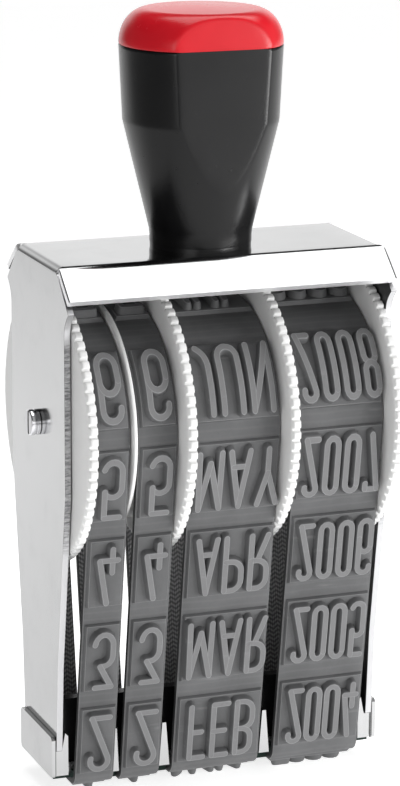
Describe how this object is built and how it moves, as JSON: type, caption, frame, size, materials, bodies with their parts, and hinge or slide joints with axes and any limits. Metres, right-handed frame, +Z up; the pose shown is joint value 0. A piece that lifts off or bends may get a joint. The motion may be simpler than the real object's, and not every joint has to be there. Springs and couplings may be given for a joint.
{
  "type": "band date stamp",
  "caption": "Hand date stamp: toothed thumb wheels turn endless rubber type bands round a narrow foot, in a folded metal frame under a capped handle.",
  "frame": {"origin": "on the plane of the printing faces, under the middle of the object", "axes": "+Z up from the printing faces to the handle, X along the axle of the thumb wheels, -Y the front with the readable side of the bands"},
  "size_m": [0.0812, 0.0626, 0.1755],
  "materials": {
    "chrome": "polished",
    "steel": "satin",
    "black_plastic": "satin",
    "red_plastic": "satin",
    "white_plastic": "satin",
    "grey_rubber": "matte",
    "liner": "matte"
  },
  "bodies": {
    "frame": {"frame": "chrome", "foot_tray": "chrome", "handle_bolt": "steel", "handle_washer": "steel", "handle_nut": "steel", "axle": "steel", "axle_screw_left": "steel", "axle_screw_right": "steel", "spacer_left": "steel", "spacer_days": "steel", "spacer_middle": "steel", "spacer_words": "steel", "spacer_right": "steel", "block_pin_left": "steel", "block_pin_right": "steel", "handle_collar": "black_plastic", "handle_body": "black_plastic", "platen_block": "black_plastic", "handle_cap": "red_plastic", "band_tens": "grey_rubber", "band_units": "grey_rubber", "band_month": "grey_rubber", "band_year": "grey_rubber", "platen_liner": "liner"},
    "wheel_tens": {"wheel_tens": "white_plastic"},
    "wheel_units": {"wheel_units": "white_plastic"},
    "wheel_month": {"wheel_month": "white_plastic"},
    "wheel_year": {"wheel_year": "white_plastic"}
  },
  "joints": [
    {"name": "tens_turn", "type": "hinge", "parent": "frame", "child": "wheel_tens", "pos_m": [0, 0, 0.0848], "axis": [1, 0, 0], "continuous": true},
    {"name": "units_turn", "type": "hinge", "parent": "frame", "child": "wheel_units", "pos_m": [0, 0, 0.0848], "axis": [1, 0, 0], "continuous": true},
    {"name": "month_turn", "type": "hinge", "parent": "frame", "child": "wheel_month", "pos_m": [0, 0, 0.0848], "axis": [1, 0, 0], "continuous": true},
    {"name": "year_turn", "type": "hinge", "parent": "frame", "child": "wheel_year", "pos_m": [0, 0, 0.0848], "axis": [1, 0, 0], "continuous": true}
  ]
}
